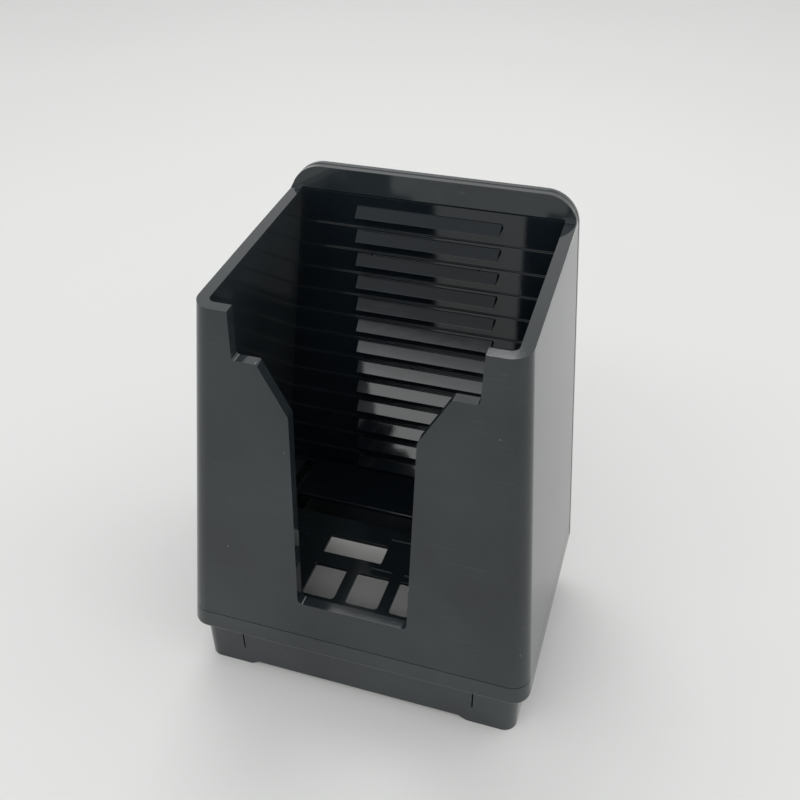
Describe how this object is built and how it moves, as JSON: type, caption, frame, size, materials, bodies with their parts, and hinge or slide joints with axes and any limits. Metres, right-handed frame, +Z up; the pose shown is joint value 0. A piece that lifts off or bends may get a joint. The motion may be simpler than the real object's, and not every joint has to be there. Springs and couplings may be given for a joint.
{
  "type": "card dealing shoe",
  "caption": "Upright card dealing shoe: flared bin with a finger slot in front, a toothed back wall that leans back, a pierced card floor and a low footed plinth.",
  "frame": {"origin": "on the surface the shoe stands on, under the middle of its overall box", "axes": "+X to the right as seen by the user in front, +Y from the finger slot towards the back wall, +Z up"},
  "size_m": [0.1334, 0.1053, 0.1707],
  "materials": {
    "gloss_black": "gloss black moulded plastic",
    "inner_black": "polished black moulded plastic",
    "base_black": "gloss black moulded plastic",
    "screw_steel": "dark plated steel"
  },
  "bodies": {
    "root": {"outer_shell": "gloss_black", "rib_panel": "inner_black", "back_cover": "gloss_black", "floor_grid": "inner_black", "rear_platform": "inner_black", "base_tray": "base_black", "plinth": "base_black", "base_screw_1": "screw_steel", "base_screw_2": "screw_steel", "base_screw_3": "screw_steel", "base_screw_4": "screw_steel", "rear_screw_1": "screw_steel", "rear_screw_2": "screw_steel", "rear_screw_3": "screw_steel", "rear_screw_4": "screw_steel"}
  },
  "joints": []
}
